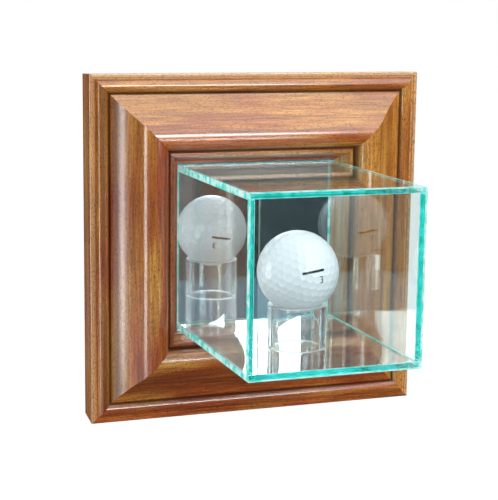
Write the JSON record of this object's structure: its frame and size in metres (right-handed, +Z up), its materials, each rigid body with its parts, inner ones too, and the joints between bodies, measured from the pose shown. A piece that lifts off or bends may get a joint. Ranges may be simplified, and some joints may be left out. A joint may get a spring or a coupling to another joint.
{
  "type": "golf ball display case",
  "caption": "Square moulded wood frame that hangs on a wall, with a mirror and a deep glass case for a golf ball on a clear ring stand.",
  "frame": {"origin": "the middle of the flat back of the frame and backing board, at the backing board's rear face", "axes": "+X right seen from the front, +Y out of the back into the wall, +Z up; the glass case points along -Y"},
  "size_m": [0.192, 0.1381, 0.192],
  "materials": {
    "walnut_stained_wood": "satin",
    "silvered_mirror": "polished",
    "clear_float_glass": "polished",
    "clear_cast_acrylic": "polished",
    "ball_cover": "gloss",
    "foam_board": "matte",
    "brown_hardboard": "matte",
    "zinc_plated_steel": "satin",
    "brass_plated_steel": "satin",
    "dark_grey_rubber": "matte"
  },
  "bodies": {
    "frame": {"rail_top": "walnut_stained_wood", "rail_bottom": "walnut_stained_wood", "rail_left": "walnut_stained_wood", "rail_right": "walnut_stained_wood", "corner_wedges": "zinc_plated_steel", "mirror": "silvered_mirror", "filler_board": "foam_board", "backing_board": "brown_hardboard", "turn_button_screws": "zinc_plated_steel", "sawtooth_hanger": "brass_plated_steel", "hanger_nails": "brass_plated_steel", "wall_bumpers": "dark_grey_rubber"},
    "glass_case": {"glass_front": "clear_float_glass", "glass_top": "clear_float_glass", "glass_bottom": "clear_float_glass", "glass_left": "clear_float_glass", "glass_right": "clear_float_glass"},
    "stand": {"ball_stand": "clear_cast_acrylic"},
    "ball": {"golf_ball": "ball_cover"},
    "button_top": {"turn_button_top": "zinc_plated_steel"},
    "button_bottom": {"turn_button_bottom": "zinc_plated_steel"},
    "button_left": {"turn_button_left": "zinc_plated_steel"},
    "button_right": {"turn_button_right": "zinc_plated_steel"}
  },
  "joints": [
    {"name": "case_pull", "type": "slide", "parent": "frame", "child": "glass_case", "axis": [0, -1, 0], "range_m": [0, 0.06]},
    {"name": "stand_lift", "type": "slide", "parent": "glass_case", "child": "stand", "axis": [0, 0, 1], "range_m": [0, 0.01]},
    {"name": "ball_lift", "type": "slide", "parent": "stand", "child": "ball", "axis": [0, 0, 1], "range_m": [0, 0.012]},
    {"name": "button_top_turn", "type": "hinge", "parent": "frame", "child": "button_top", "pos_m": [0, 0.0007, 0.0619], "axis": [0, 1, 0], "range_deg": [0, 90]},
    {"name": "button_bottom_turn", "type": "hinge", "parent": "frame", "child": "button_bottom", "pos_m": [0, 0.0007, -0.0619], "axis": [0, 1, 0], "range_deg": [0, 90]},
    {"name": "button_left_turn", "type": "hinge", "parent": "frame", "child": "button_left", "pos_m": [-0.0619, 0.0007, 0], "axis": [0, 1, 0], "range_deg": [0, 90]},
    {"name": "button_right_turn", "type": "hinge", "parent": "frame", "child": "button_right", "pos_m": [0.0619, 0.0007, 0], "axis": [0, 1, 0], "range_deg": [0, 90]}
  ]
}
